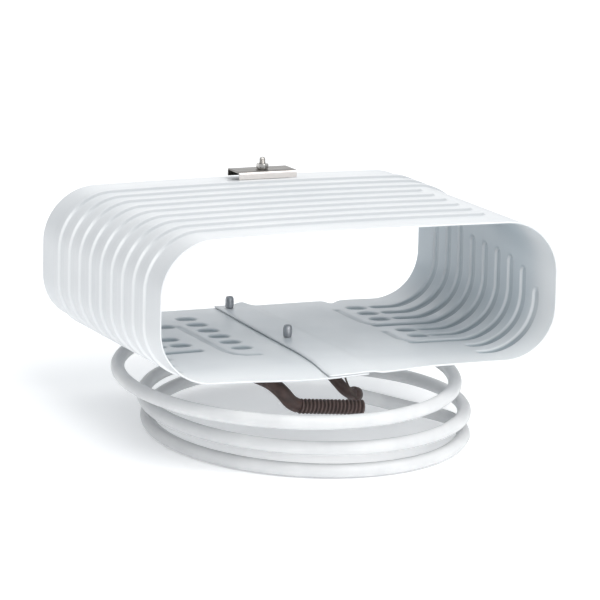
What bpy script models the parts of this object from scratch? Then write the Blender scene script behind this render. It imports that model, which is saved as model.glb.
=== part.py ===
"""O-shaped refrigerator evaporator with its thermostat bulb clamp and its coiled refrigerant line.

The evaporator is one roll-bond aluminium sheet, bent into a ring round the freezer space and riveted to
itself on the floor.  It lies tipped back on three open turns of its own refrigerant line: a copper suction
tube and a capillary tube in a white sleeve.  Units are metres, +Z is up and z = 0 is the floor.
"""
import math

import bpy
from mathutils import Matrix, Vector

# Evaporator ring: outer sizes of the bare sheet, measured in its own upright frame.
RING_WIDTH = 0.380
RING_DEPTH = 0.286
RING_HEIGHT = 0.1265
CORNER_RADIUS = 0.048
SHEET = 0.0015
BOW_TOP = 0.0025
BOW_SIDE = 0.0012
BOW_FLOOR = 0.0008
TILT = math.radians(4.65)

# Pressed ribs that run round the ring.
RIB_COUNT = 9
RIB_PITCH = 0.026
RIB_WIDTH = 0.013
RIB_FLANK = 0.0022
RIB_HEIGHT = 0.0020
RIB_END_X = 0.122
RIB_END_FADE = 0.010

# Lap seam on the floor: the right end of the sheet lies on the left end.
LAP_TOP_EDGE = -0.0245
LAP_UNDER_EDGE = 0.008
LAP_STEP_X = 0.010
LAP_END_X = 0.024
LAP_LIFT = SHEET + 0.0004
RIVET_X = -0.0100
RIVET_Y = (0.130, -0.005)
RIVET_HOLE = 0.0024
RIVET_SHANK = 0.0020
RIVET_HEAD = 0.0042
RIVET_TAIL = 0.0036
RIVET_TAIL_LENGTH = 0.0118
RIVET_MANDREL = 0.0012
RIVET_DIMPLE = 0.0020

# Thermostat bulb clamp on the top wall.
CLAMP_X = 0.017
CLAMP_Y = 0.1215
CLAMP_LENGTH = 0.058
CLAMP_DEPTH = 0.028
CLAMP_SHEET = 0.0015
CLAMP_TOP = 0.0062
STUD_RADIUS = 0.0029
STUD_HOLE = 0.0033
STUD_HEIGHT = 0.0122
STUD_HEAD_RADIUS = 0.0065
STUD_HEAD_HEIGHT = 0.0020
NUT_FLATS = 0.010
NUT_HEIGHT = 0.005

# Refrigerant line: three turns, upper, middle and lower, each a circle in a level plane.
LINE_RADIUS = 0.0063
SLEEVE_WALL = 0.0013
SUCTION_RADIUS = 0.0030
SUCTION_DROP = 0.0012
CAPILLARY_RADIUS = 0.0009
CAPILLARY_RISE = 0.0033
CAPILLARY_SPLAY = 0.0030
SPLAY_ANGLE = 12
BAND_WALL = 0.0008
BAND_LENGTHS = (0.006, 0.008)
BAND_INSETS = (0.0006, 0.0010)
CAP_WALL = 0.0012
CAP_DEPTH = 0.005
CAP_LENGTHS = (0.009, 0.008)
TURN_X = (-0.0170, 0.0018, 0.0046)
TURN_RADIUS = (0.1525, 0.1455, 0.1438)
TURN_Z = (0.0548, 0.0277, LINE_RADIUS * math.cos(math.pi / 8))
UPPER_PASSAGE = (390, 470)
LOWER_PASSAGE = (650, 915)
LINE_STEP = 0.034
LEAD_STEP = 0.010
FINE_STEP = 0.006
COIL_START = 1050
SLEEVE_END = 88
SUCTION_END = 76
CAPILLARY_END = 70
LEAD_KNOTS = ((0.0190, -0.0750, 0.0515), (0.0395, -0.0583, 0.0422), (0.0603, -0.0413, 0.0328),
              (0.0960, -0.0235, 0.0186), (0.1165, -0.0290, 0.0140), (0.1302, -0.0440, 0.0120),
              (0.1340, -0.0600, 0.0102))

# Where the line leaves the evaporator: brown sleeves, with the spare capillary wound round the tube.
WINDING_START = Vector((-0.0465, -0.103, 0.0534))
WINDING_END = Vector((0.016, -0.103, 0.0477))
WINDING_RADIUS = 0.0069
WINDING_TURNS = 17
WINDING_WALL = 0.0012
WINDING_GROOVE = 0.0007
OUTLET_RADIUS = 0.0066
OUTLET_WALL = 0.0016
NECK_RADIUS = 0.0033
FERRULE_RADIUS = 0.0044
FERRULE_WALL = 0.0006
FERRULE_MIDDLE = 9
INLET_RADIUS = 0.0052
INLET_WALL = 0.0014
INLET_STANDOFF = 0.0008
INLET_KNOTS = ((-0.0120, -0.0600, 0.0755), (-0.0020, -0.0690, 0.0700), (0.0040, -0.0755, 0.0628),
               (0.0092, -0.0788, 0.0570), (0.0153, -0.0780, 0.0532))
CAPILLARY_KNOTS = ((-0.0025, -0.0990, 0.0795), (0.0015, -0.1000, 0.0690), (0.0060, -0.1015, 0.0610),
                   (0.0100, -0.1030, 0.0565))
OUTLET_KNOTS = ((-0.081, -0.011, 0.0690), (-0.079, -0.041, 0.0712), (-0.075, -0.069, 0.0735),
                (-0.069, -0.090, 0.0728), (-0.062, -0.1005, 0.0665), (-0.0545, -0.103, 0.0580))

# The whole object is centred on the origin: the ring stands this far back from it.
CENTRE_Y = 0.0190
RING_CENTRE_Z = 0.1394
TURN_Y = -0.027
GAP = 0.0003
SMOOTH_ANGLE = math.radians(35)

COLOURS = {
    "coated_panel": ((0.86, 0.88, 0.88, 1), 0.35, 0.0),
    "white_sleeve": ((0.88, 0.90, 0.90, 1), 0.45, 0.0),
    "brown_sleeve": ((0.075, 0.045, 0.038, 1), 0.55, 0.0),
    "copper": ((0.72, 0.36, 0.22, 1), 0.35, 1.0),
    "aluminium": ((0.62, 0.63, 0.64, 1), 0.35, 1.0),
    "stainless": ((0.42, 0.40, 0.38, 1), 0.30, 1.0),
    "rubber_cap": ((0.03, 0.03, 0.03, 1), 0.70, 0.0),
}


# ---------------------------------------------------------------- scene and object helpers

def clear_scene():
    for item in list(bpy.data.objects):
        bpy.data.objects.remove(item, do_unlink=True)


def make_collection(name):
    collection = bpy.data.collections.new(name)
    bpy.context.scene.collection.children.link(collection)
    return collection


def make_material(name):
    colour, roughness, metallic = COLOURS[name]
    material = bpy.data.materials.new(name)
    material.use_nodes = True
    shader = material.node_tree.nodes["Principled BSDF"]
    shader.inputs["Base Color"].default_value = colour
    shader.inputs["Roughness"].default_value = roughness
    shader.inputs["Metallic"].default_value = metallic
    return material


def finish(item, name, material):
    """Name an object, give it its material and put it in the object's collection."""
    item.name = name
    item.data.name = name
    item.data.materials.clear()
    item.data.materials.append(bpy.data.materials.get(material) or make_material(material))
    for owner in list(item.users_collection):
        owner.objects.unlink(item)
    EVAPORATOR.objects.link(item)
    return item


def as_cutter(item):
    item.hide_render = True
    item.display_type = "WIRE"
    for owner in list(item.users_collection):
        owner.objects.unlink(item)
    CUTTERS.objects.link(item)
    return item


def cut(item, cutter):
    boolean = item.modifiers.new("cut_" + cutter.name, "BOOLEAN")
    boolean.operation = "DIFFERENCE"
    boolean.object = as_cutter(cutter)


def smooth(item):
    item.data.shade_smooth()
    item.data.set_sharp_from_angle(angle=SMOOTH_ANGLE)
    return item


def cylinder(radius, low, high, sides=24, centre=(0, 0)):
    bpy.ops.mesh.primitive_cylinder_add(vertices=sides, radius=radius, depth=high - low,
                                        location=(centre[0], centre[1], (low + high) / 2))
    return bpy.context.object


def formed_grid(columns, rows, place):
    """A flat grid whose every vertex goes where place(column, row) says."""
    bpy.ops.mesh.primitive_grid_add(x_subdivisions=columns - 1, y_subdivisions=rows - 1, size=2)
    item = bpy.context.object
    for vertex in item.data.vertices:
        column = round((vertex.co.x + 1) / 2 * (columns - 1))
        row = round((vertex.co.y + 1) / 2 * (rows - 1))
        vertex.co = place(column, row)
    return item


def turned(profile, sides, ring=False):
    """Turn a profile of (radius, height) points about the Z axis.

    The points run down the outer side.  A ring's profile also joins its last point to its first.
    """
    mesh = bpy.data.meshes.new("profile")
    points = [(radius, 0, height) for radius, height in profile]
    edges = [(i, i + 1) for i in range(len(points) - 1)]
    if ring:
        edges.append((len(points) - 1, 0))
    mesh.from_pydata(points, edges, [])
    item = bpy.data.objects.new("turned", mesh)
    bpy.context.scene.collection.objects.link(item)
    screw = item.modifiers.new("turn", "SCREW")
    screw.steps = sides
    screw.render_steps = sides
    screw.use_merge_vertices = True
    screw.merge_threshold = 0.00001
    return item


def tube(points, radius, sides_level=2, caps=True):
    """A round tube along a list of points."""
    curve = bpy.data.curves.new("tube", "CURVE")
    curve.dimensions = "3D"
    curve.twist_mode = "Z_UP"
    curve.bevel_depth = radius
    curve.bevel_resolution = sides_level
    curve.use_fill_caps = caps
    spline = curve.splines.new("POLY")
    spline.points.add(len(points) - 1)
    for spot, point in zip(spline.points, points):
        spot.co = (point[0], point[1], point[2], 1)
    item = bpy.data.objects.new("tube", curve)
    bpy.context.scene.collection.objects.link(item)
    return item


def hollow_tube(points, radius, wall, sides_level=2):
    """A tube with open ends, whose wall grows inward from its radius."""
    item = tube(points, radius, sides_level, caps=False)
    shell = item.modifiers.new("wall", "SOLIDIFY")
    shell.thickness = wall
    shell.offset = -1
    return item


# ---------------------------------------------------------------- placing things on the tipped ring

def ring_matrix():
    """From the ring's own upright frame to the object's frame."""
    return Matrix.Translation((0, CENTRE_Y, RING_CENTRE_Z)) @ Matrix.Rotation(-TILT, 4, "X")


def place_on_ring(item):
    item.matrix_world = ring_matrix() @ item.matrix_world
    return item


def smoothstep(low, high, value):
    t = min(1, max(0, (value - low) / (high - low)))
    return t * t * (3 - 2 * t)


def rib_lift(y):
    """Height of the pressed ribs at a depth y: a row of ridges with sloping flanks."""
    first = -(RIB_COUNT - 1) / 2 * RIB_PITCH
    nearest = min(RIB_COUNT - 1, max(0, round((y - first) / RIB_PITCH)))
    distance = abs(y - first - nearest * RIB_PITCH)
    return RIB_HEIGHT * (1 - smoothstep(RIB_WIDTH / 2 - RIB_FLANK, RIB_WIDTH / 2, distance))


def floor_fade(x):
    """Ribs run out on the floor: full outside RIB_END_X, none in the middle."""
    return smoothstep(RIB_END_X, RIB_END_X + RIB_END_FADE, abs(x))


def bowed(x, z):
    """The long walls bow outward a little, as hand-bent sheet does."""
    across = x / (RING_WIDTH / 2)
    height = z / (RING_HEIGHT / 2)
    bow = BOW_TOP if z > 0 else BOW_FLOOR
    lifted = z + bow * (1 - across * across) * height
    return x + BOW_SIDE * (1 - height * height) * across, lifted


def loop_stations():
    """Points round the outside of the ring, from the hidden floor end round to the top floor end.

    Each is (x, z, outward x, outward z, rib share).
    """
    half_width = RING_WIDTH / 2
    half_height = RING_HEIGHT / 2
    radius = CORNER_RADIUS
    flat = half_width - radius
    stations = []

    def floor_run(x_values, lap_lift):
        for x in x_values:
            lift = lap_lift * (1 - smoothstep(LAP_STEP_X, LAP_END_X, x))
            stations.append((x, -half_height + lift, 0, -1, floor_fade(x)))

    def corner(centre_x, centre_z, start):
        for step in range(1, 7):
            angle = math.radians(start - 90 * step / 6)
            out = (math.cos(angle), math.sin(angle))
            stations.append((centre_x + radius * out[0], centre_z + radius * out[1], out[0], out[1], 1))

    def straight(x, z, out_x, out_z):
        stations.append((x, z, out_x, out_z, 1))

    fade_end = RIB_END_X + RIB_END_FADE
    floor_run((LAP_UNDER_EDGE, -0.060, -RIB_END_X, -fade_end, -flat), 0)
    corner(-flat, -half_height + radius, 270)
    straight(-half_width, 0, -1, 0)
    straight(-half_width, half_height - radius, -1, 0)
    corner(-flat, half_height - radius, 180)
    for x in (-0.070, 0.0, 0.070, flat):
        straight(x, half_height, 0, 1)
    corner(flat, half_height - radius, 90)
    straight(half_width, 0, 1, 0)
    straight(half_width, -half_height + radius, 1, 0)
    corner(flat, -half_height + radius, 0)
    floor_run((fade_end, RIB_END_X, 0.060, LAP_END_X, LAP_STEP_X, LAP_TOP_EDGE), LAP_LIFT)
    return stations


def depth_stations():
    """Depths of the grid lines across the sheet: both rims and the four edges of every rib."""
    depths = [-RING_DEPTH / 2]
    first = -(RIB_COUNT - 1) / 2 * RIB_PITCH
    for rib in range(RIB_COUNT):
        centre = first + rib * RIB_PITCH
        for side in (-RIB_WIDTH / 2, -RIB_WIDTH / 2 + RIB_FLANK, RIB_WIDTH / 2 - RIB_FLANK, RIB_WIDTH / 2):
            depths.append(centre + side)
    depths.append(RING_DEPTH / 2)
    return depths


# ---------------------------------------------------------------- evaporator ring

def evaporator_panel():
    """The roll-bond sheet: a flat grid formed round the ring, thickened inward, with its three holes."""
    loop = loop_stations()
    depths = depth_stations()

    def place(column, row):
        x, z, out_x, out_z, share = loop[column]
        lift = rib_lift(depths[row]) * share
        x, z = bowed(x + out_x * lift, z + out_z * lift)
        return (x, depths[row], z)

    item = formed_grid(len(loop), len(depths), place)
    shell = item.modifiers.new("sheet", "SOLIDIFY")
    shell.thickness = SHEET
    shell.offset = -1
    place_on_ring(item)
    for number, y in enumerate(RIVET_Y):
        hole = cylinder(RIVET_HOLE, -RING_HEIGHT / 2 - 0.01, -RING_HEIGHT / 2 + 0.01, 12, (RIVET_X, y))
        hole.name = "rivet_hole_%d" % number
        cut(item, place_on_ring(hole))
    hole = cylinder(STUD_HOLE, RING_HEIGHT / 2 - 0.01, RING_HEIGHT / 2 + 0.01, 12, (CLAMP_X, CLAMP_Y))
    hole.name = "stud_hole"
    cut(item, place_on_ring(hole))
    return finish(item, "evaporator_panel", "coated_panel")


def floor_level(x):
    """Height of the bare floor sheet's underside at x, in the ring's frame."""
    return bowed(x, -RING_HEIGHT / 2)[1]


def top_level(x):
    """Height of the bare top sheet's outer face at x, in the ring's frame."""
    return bowed(x, RING_HEIGHT / 2)[1]


def seam_rivet(name, y):
    """Blind rivet through the lap seam: flat head underneath, long swollen tail inside the ring."""
    underside = floor_level(RIVET_X) - GAP
    inside = floor_level(RIVET_X) + SHEET + LAP_LIFT + 2 * GAP
    end = inside + RIVET_TAIL_LENGTH
    profile = [(0, end - RIVET_DIMPLE), (RIVET_MANDREL, end - RIVET_DIMPLE), (RIVET_MANDREL, end),
               (RIVET_TAIL - 0.0010, end), (RIVET_TAIL, end - 0.0012), (RIVET_TAIL, inside),
               (RIVET_SHANK, inside), (RIVET_SHANK, underside), (RIVET_HEAD, underside),
               (RIVET_HEAD - 0.0012, underside - 0.0012), (0, underside - 0.0012)]
    item = turned(profile, 16)
    item.location = (RIVET_X, y, 0)
    bpy.context.view_layer.update()
    place_on_ring(item)
    return finish(smooth(item), name, "aluminium")


# ---------------------------------------------------------------- thermostat bulb clamp

def clamp_base():
    """Height of the rib tops under the clamp, in the ring's frame."""
    return top_level(CLAMP_X) + RIB_HEIGHT + GAP


def clamp_plate():
    """Stamped plate with both long edges folded down; its middle is open underneath for the bulb."""
    top = clamp_base() + CLAMP_TOP
    half = CLAMP_DEPTH / 2 - CLAMP_SHEET / 2
    section = [(-half, clamp_base() + CLAMP_SHEET / 2), (-half, top - 0.0018), (-half + 0.0018, top),
               (half - 0.0018, top), (half, top - 0.0018), (half, clamp_base() + CLAMP_SHEET / 2)]

    def place(column, row):
        return ((column - 0.5) * CLAMP_LENGTH, *section[row])

    item = formed_grid(2, len(section), place)
    shell = item.modifiers.new("sheet", "SOLIDIFY")
    shell.thickness = CLAMP_SHEET
    shell.offset = 0
    item.location = (CLAMP_X, CLAMP_Y, 0)
    bpy.context.view_layer.update()
    place_on_ring(item)
    hole = cylinder(STUD_HOLE, top - 0.01, top + 0.01, 16, (CLAMP_X, CLAMP_Y))
    hole.name = "clamp_hole"
    cut(item, place_on_ring(hole))
    return finish(item, "clamp_plate", "stainless")


def clamp_nut():
    """Hexagon nut on the stud, with its own bore."""
    seat = clamp_base() + CLAMP_TOP + CLAMP_SHEET / 2 + GAP
    corner_radius = NUT_FLATS / 2 / math.cos(math.radians(30))
    item = cylinder(corner_radius, seat, seat + NUT_HEIGHT, 6, (CLAMP_X, CLAMP_Y))
    place_on_ring(item)
    hole = cylinder(STUD_RADIUS + GAP, seat - 0.01, seat + 0.02, 16, (CLAMP_X, CLAMP_Y))
    hole.name = "nut_bore"
    cut(item, place_on_ring(hole))
    return finish(item, "clamp_nut", "stainless")


def clamp_stud():
    """Threaded stud: its flat head is inside the ring, its shank goes up through sheet, plate and nut."""
    under = top_level(CLAMP_X) - SHEET - GAP
    end = clamp_base() + CLAMP_TOP + STUD_HEIGHT
    bottom = under - STUD_HEAD_HEIGHT
    profile = [(0, end), (STUD_RADIUS - 0.0013, end - 0.0004), (STUD_RADIUS, end - 0.0018),
               (STUD_RADIUS, under), (STUD_HEAD_RADIUS, under), (STUD_HEAD_RADIUS, under - 0.0012),
               (STUD_HEAD_RADIUS - 0.0015, bottom), (0, bottom)]
    item = turned(profile, 16)
    item.location = (CLAMP_X, CLAMP_Y, 0)
    bpy.context.view_layer.update()
    place_on_ring(item)
    return finish(smooth(item), "clamp_stud", "stainless")


# ---------------------------------------------------------------- the line's route

def turn_point(turn, degrees):
    """Point on one of the three level turns; degrees run anticlockwise from +X, seen from above."""
    angle = math.radians(degrees)
    return Vector((TURN_X[turn] + TURN_RADIUS[turn] * math.cos(angle),
                   CENTRE_Y + TURN_Y + TURN_RADIUS[turn] * math.sin(angle), TURN_Z[turn]))


def between(first, second, share):
    return first.lerp(second, share)


def coil_point(degrees):
    """Centre of the line at an angle that runs on from the upper turn down to the lower one."""
    if degrees < UPPER_PASSAGE[1]:
        return between(turn_point(0, degrees), turn_point(1, degrees),
                       smoothstep(*UPPER_PASSAGE, degrees))
    return between(turn_point(1, degrees), turn_point(2, degrees), smoothstep(*LOWER_PASSAGE, degrees))


def vectors(knots):
    return [Vector(knot) for knot in knots]


def smooth_route(knots, step):
    """Points about a step apart along a smooth curve through the knots."""
    points = []
    for i in range(len(knots) - 1):
        before = knots[max(0, i - 1)]
        first = knots[i]
        second = knots[i + 1]
        after = knots[min(len(knots) - 1, i + 2)]
        count = max(1, round((second - first).length / step))
        for j in range(count):
            t = j / count
            points.append(0.5 * (2 * first + (second - before) * t
                                 + (2 * before - 5 * first + 4 * second - after) * t ** 2
                                 + (3 * first - before - 3 * second + after) * t ** 3))
    points.append(knots[-1])
    return points


def outlet_route():
    """From the evaporator's underside, forward below the floor sheet, then down to the winding."""
    return smooth_route(vectors(OUTLET_KNOTS) + [WINDING_START], FINE_STEP)


def lead_route():
    """From the inlet sleeve down to the floor and round on to the lower turn."""
    knots = vectors(LEAD_KNOTS) + [coil_point(COIL_START), coil_point(COIL_START - 10)]
    points = smooth_route(knots, LEAD_STEP)
    for point in points:
        point.z = max(point.z, TURN_Z[2])
    return points


def inlet_route():
    """Down from the floor sheet and round to the white sleeve's start."""
    return smooth_route(vectors(INLET_KNOTS + LEAD_KNOTS[:1]), FINE_STEP)


def coil_route(last):
    """The turns upward from the lead, as points a step apart, to an angle."""
    points = []
    degrees = COIL_START - 22
    while degrees > last + 4:
        points.append(coil_point(degrees))
        degrees -= math.degrees(LINE_STEP / TURN_RADIUS[1])
    points.append(coil_point(last))
    return points


def tail_route(last, splay):
    """The bare end past the sleeve, rising by the splay so that the two tubes' caps lie clear."""
    points = []
    for degrees in range(SLEEVE_END - 2, last - 1, -2):
        rise = splay * smoothstep(0, SPLAY_ANGLE, SLEEVE_END - degrees)
        points.append(coil_point(degrees) + Vector((0, 0, rise)))
    return points


def shifted(points, rise):
    return [point + Vector((0, 0, rise)) for point in points]


def line_sleeve():
    """White sleeve over both tubes, from the inlet sleeve to the tail."""
    points = lead_route() + coil_route(SLEEVE_END)
    return finish(hollow_tube(points, LINE_RADIUS, SLEEVE_WALL), "line_sleeve", "white_sleeve")


def suction_line():
    """Copper tube from the floor sheet, through inlet sleeve and white sleeve, to its bare end."""
    points = inlet_route()[:-1] + shifted(lead_route()[1:] + coil_route(SLEEVE_END)
                                          + tail_route(SUCTION_END, 0), -SUCTION_DROP)
    return finish(tube(points, SUCTION_RADIUS), "suction_line", "copper")


def capillary_line():
    """Thin copper tube beside the suction tube, from the white sleeve's mouth to its bare end."""
    points = lead_route()[1:] + coil_route(SLEEVE_END) + tail_route(CAPILLARY_END, CAPILLARY_SPLAY)
    points = shifted(points, CAPILLARY_RISE)
    return finish(tube(points, CAPILLARY_RADIUS, 1), "capillary_line", "copper")


def along(first, second, distance):
    """Matrix at a distance from one point towards another, with Z that way."""
    axis = (second - first).normalized()
    spin = axis.to_track_quat("Z", "Y").to_matrix().to_4x4()
    return Matrix.Translation(first + axis * distance) @ spin


def collar(name, first, second, distance, length, material):
    """Short shrunk band over the sleeve's end."""
    bore = LINE_RADIUS + GAP
    outer = bore + BAND_WALL
    profile = [(bore, length), (outer - 0.0004, length), (outer, length - 0.0006), (outer, 0.0006),
               (outer - 0.0004, 0), (bore, 0)]
    item = turned(profile, 16, ring=True)
    item.matrix_world = along(first, second, distance)
    return finish(smooth(item), name, material)


def end_cap(name, end, before, radius, length):
    """Rubber cap pushed over a tube's bare end: a cup that covers the last few millimetres."""
    bore = radius + GAP
    outer = bore + CAP_WALL
    profile = [(0, length), (outer - 0.0008, length), (outer, length - 0.0010), (outer, 0), (bore, 0),
               (bore, CAP_DEPTH), (0, CAP_DEPTH)]
    item = turned(profile, 16)
    item.matrix_world = along(end, end + (end - before), GAP - CAP_DEPTH)
    return finish(smooth(item), name, "rubber_cap")


def tube_end_caps():
    before, end = shifted(tail_route(SUCTION_END, 0)[-2:], -SUCTION_DROP)
    end_cap("suction_end_cap", end, before, SUCTION_RADIUS, CAP_LENGTHS[0])
    before, end = shifted(tail_route(CAPILLARY_END, CAPILLARY_SPLAY)[-2:], CAPILLARY_RISE)
    end_cap("capillary_end_cap", end, before, CAPILLARY_RADIUS, CAP_LENGTHS[1])


# ---------------------------------------------------------------- outlet, inlet and winding

def outlet_neck():
    """Aluminium stub that leaves the channels of the floor sheet."""
    points = outlet_route()[:FERRULE_MIDDLE - 1]
    return finish(tube(points, NECK_RADIUS, 4), "outlet_neck", "aluminium")


def joint_ferrule():
    """Crimped ferrule that joins the aluminium stub to the copper tube."""
    points = outlet_route()[FERRULE_MIDDLE - 3:FERRULE_MIDDLE + 3]
    return finish(hollow_tube(points, FERRULE_RADIUS, FERRULE_WALL, 4), "joint_ferrule", "aluminium")


def outlet_sleeve():
    """Smooth brown sleeve over the joint of stub and copper tube."""
    points = outlet_route()[3:-1]
    return finish(hollow_tube(points, OUTLET_RADIUS, OUTLET_WALL, 4), "outlet_sleeve", "brown_sleeve")


def winding_length():
    return (WINDING_END - WINDING_START).length


def winding_matrix():
    return along(WINDING_START, WINDING_END, 0)


def ribbed_profile(radius, groove, bore):
    """Ring profile with one rib for every turn of the capillary."""
    pitch = winding_length() / WINDING_TURNS
    profile = [(bore, winding_length())]
    for turn in range(WINDING_TURNS):
        base = winding_length() - turn * pitch
        profile += [(radius - groove, base), (radius, base - pitch * 0.35), (radius, base - pitch * 0.65)]
    return profile + [(radius - groove, 0), (bore, 0)]


def winding_sleeve():
    """Brown sleeve shrunk over the wound capillary, so that every turn shows as a rib."""
    profile = ribbed_profile(WINDING_RADIUS, WINDING_GROOVE, WINDING_RADIUS - WINDING_WALL)
    item = turned(profile, 12, ring=True)
    item.matrix_world = winding_matrix()
    return finish(item, "winding_sleeve", "brown_sleeve")


def capillary_winding():
    """The spare capillary, wound close on the suction tube: one ribbed ring for all its turns."""
    radius = WINDING_RADIUS - WINDING_WALL - 2 * GAP
    bore = SUCTION_RADIUS + GAP
    profile = [(bore, winding_length()), (radius, winding_length()), (radius, 0), (bore, 0)]
    item = turned(profile, 12, ring=True)
    item.matrix_world = winding_matrix()
    return finish(item, "capillary_winding", "copper")


def inlet_sleeve():
    """Short brown sleeve over the line where it leaves the floor sheet."""
    points = inlet_route()
    points[-1] = points[-1] + (points[-2] - points[-1]).normalized() * INLET_STANDOFF
    return finish(hollow_tube(points, INLET_RADIUS, INLET_WALL, 3), "inlet_sleeve", "brown_sleeve")


def winding_core():
    """Copper tube from the ferrule through the winding, closed at its right end."""
    points = outlet_route()[FERRULE_MIDDLE:] + [(WINDING_START + WINDING_END) / 2, WINDING_END]
    return finish(tube(points, SUCTION_RADIUS), "winding_core", "copper")


def capillary_lead():
    """Thin tube from the floor sheet to the right end of the winding."""
    points = smooth_route(vectors(CAPILLARY_KNOTS), FINE_STEP)
    return finish(tube(points, CAPILLARY_RADIUS, 1), "capillary_lead", "copper")


def build():
    evaporator_panel()
    seam_rivet("seam_rivet_rear", RIVET_Y[0])
    seam_rivet("seam_rivet_front", RIVET_Y[1])
    clamp_plate()
    clamp_nut()
    clamp_stud()
    outlet_neck()
    joint_ferrule()
    outlet_sleeve()
    winding_sleeve()
    capillary_winding()
    winding_core()
    inlet_sleeve()
    capillary_lead()
    line_sleeve()
    suction_line()
    capillary_line()
    lead = lead_route()
    collar("sleeve_start_band", lead[0], lead[1], BAND_INSETS[0], BAND_LENGTHS[0], "brown_sleeve")
    end, before = coil_route(SLEEVE_END)[:-3:-1]
    collar("sleeve_end_band", end, before, BAND_INSETS[1], BAND_LENGTHS[1], "brown_sleeve")
    tube_end_caps()


clear_scene()
EVAPORATOR = make_collection("freezer_evaporator")
CUTTERS = make_collection("cutters")
build()
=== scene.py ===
"""Finished look of a freezer evaporator on its coiled refrigerant line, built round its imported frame.

The camera and the sleeved line come first, then the ribbed ring with its rivets and bulb clamp, the
brown sleeves under its floor, and the studio round them.  Units are metres, +Z is up, z = 0 is the floor.
"""
import math

import bpy
import numpy as np
from mathutils import Matrix, Vector


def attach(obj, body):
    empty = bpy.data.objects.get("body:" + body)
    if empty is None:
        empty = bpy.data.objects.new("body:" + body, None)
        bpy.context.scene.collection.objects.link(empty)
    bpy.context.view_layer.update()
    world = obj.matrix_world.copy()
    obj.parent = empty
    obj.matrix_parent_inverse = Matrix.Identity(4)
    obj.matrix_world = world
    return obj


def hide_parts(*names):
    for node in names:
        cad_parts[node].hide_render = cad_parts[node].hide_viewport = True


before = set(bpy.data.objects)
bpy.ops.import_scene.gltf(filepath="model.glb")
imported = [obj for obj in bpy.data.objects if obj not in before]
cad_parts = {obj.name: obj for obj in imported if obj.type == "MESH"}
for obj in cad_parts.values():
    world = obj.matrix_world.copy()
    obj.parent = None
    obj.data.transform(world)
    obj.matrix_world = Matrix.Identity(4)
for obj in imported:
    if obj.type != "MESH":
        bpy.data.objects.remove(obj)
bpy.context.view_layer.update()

# Camera: where it looks from, how it is rolled, and where the ring's centre falls in the picture.
AZIMUTH = math.radians(-24.444)
ELEVATION = math.radians(15.142)
ROLL = math.radians(3.158)
DISTANCE = 3.915
LENS = 259.6
AIM_RIGHT = 0.00306
AIM_UP = -0.02452

# Evaporator ring: sizes of the bare sheet in its own upright frame, and where that frame stands.
RING_WIDTH = 0.380
RING_DEPTH = 0.286
RING_HEIGHT = 0.1265
CORNER_RADIUS = 0.048
SHEET = 0.0015
BOW_TOP = 0.0025
BOW_SIDE = 0.0012
BOW_FLOOR = 0.0008
REAR_BUMP = 0.0022
REAR_BUMP_X = 0.007
REAR_NOTCH = 0.0030
REAR_NOTCH_X = 0.100
REAR_DENT_WIDTH = 0.006
TILT = math.radians(4.65)
CENTRE_Y = 0.0190
RING_CENTRE_Z = 0.1394

# Pressed ribs that run round the ring, from the front rib to the rear one.
RIB_COUNT = 9
RIB_PITCH = 0.026
RIB_WIDTH = 0.013
RIB_FLANK = 0.0022
RIB_HEIGHT = 0.0020
RIB_WALL_TOPS = (0.2377, 0.2227, 0.2166, 0.2146, 0.2136, 0.2126, None, None, None)
RIB_FLOOR_ENDS = (0.138, 0.140, None, 0.128, 0.128, None, 0.128, 0.128, 0.128)
RIB_LEFT_ENDS = (-0.160, -0.156, -0.150, -0.107, -0.132, -0.130, -0.124, -0.128, -0.124)
RIB_TOP_STOP = 0.130
RIB_FLOOR_STOP = 0.095

# Pressed islands and grooves on the floor, as (x, depth) on its left and right half.
ISLAND_HALF = 0.0086
ISLAND_REACH = 0.0020
LEFT_ISLANDS = ((-0.064, 0.104), (-0.064, 0.078), (-0.064, 0.052), (-0.064, 0.026), (-0.064, 0.0),
                (-0.064, -0.026), (-0.096, 0.078), (-0.114, 0.026), (-0.1125, 0.0))
RIGHT_ISLANDS = ((0.109, 0.104), (0.109, 0.078), (0.109, 0.052), (0.112, 0.0), (0.112, -0.026))
GROOVE_HALF = 0.0042
GROOVE_FLANK = 0.0024
GROOVE_HEIGHT = 0.0012
LEFT_GROOVES = (((-0.084, 0.076), (-0.084, -0.036), (-0.080, -0.050), (-0.072, -0.056), (-0.060, -0.057)),)
RIGHT_GROOVES = (((0.087, 0.100), (0.087, 0.045), (0.090, 0.033), (0.098, 0.027), (0.112, 0.026)),
                 ((0.089, -0.002), (0.089, -0.034), (0.093, -0.046), (0.102, -0.051), (0.118, -0.052)))

# Lap seam on the floor, and its rivets.
LAP_TOP_EDGE = -0.0245
LAP_UNDER_EDGE = 0.008
LAP_JOGGLE = 0.016
LAP_LIFT = SHEET + 0.0004
RIVET_X = -0.0100
RIVET_Y = (0.130, -0.005)

# Bulb clamp.
CLAMP_X = 0.017
CLAMP_Y = 0.1215
CLAMP_LENGTH = 0.058
CLAMP_DEPTH = 0.028
CLAMP_SHEET = 0.0015
CLAMP_TOP = 0.0062
STUD_RADIUS = 0.0029
STUD_HEIGHT = 0.0130
STUD_HEAD_RADIUS = 0.0065
THREAD_PITCH = 0.001
THREAD_DEPTH = 0.0004
NUT_FLATS = 0.010
NUT_HEIGHT = 0.005
GAP = 0.0003

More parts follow.
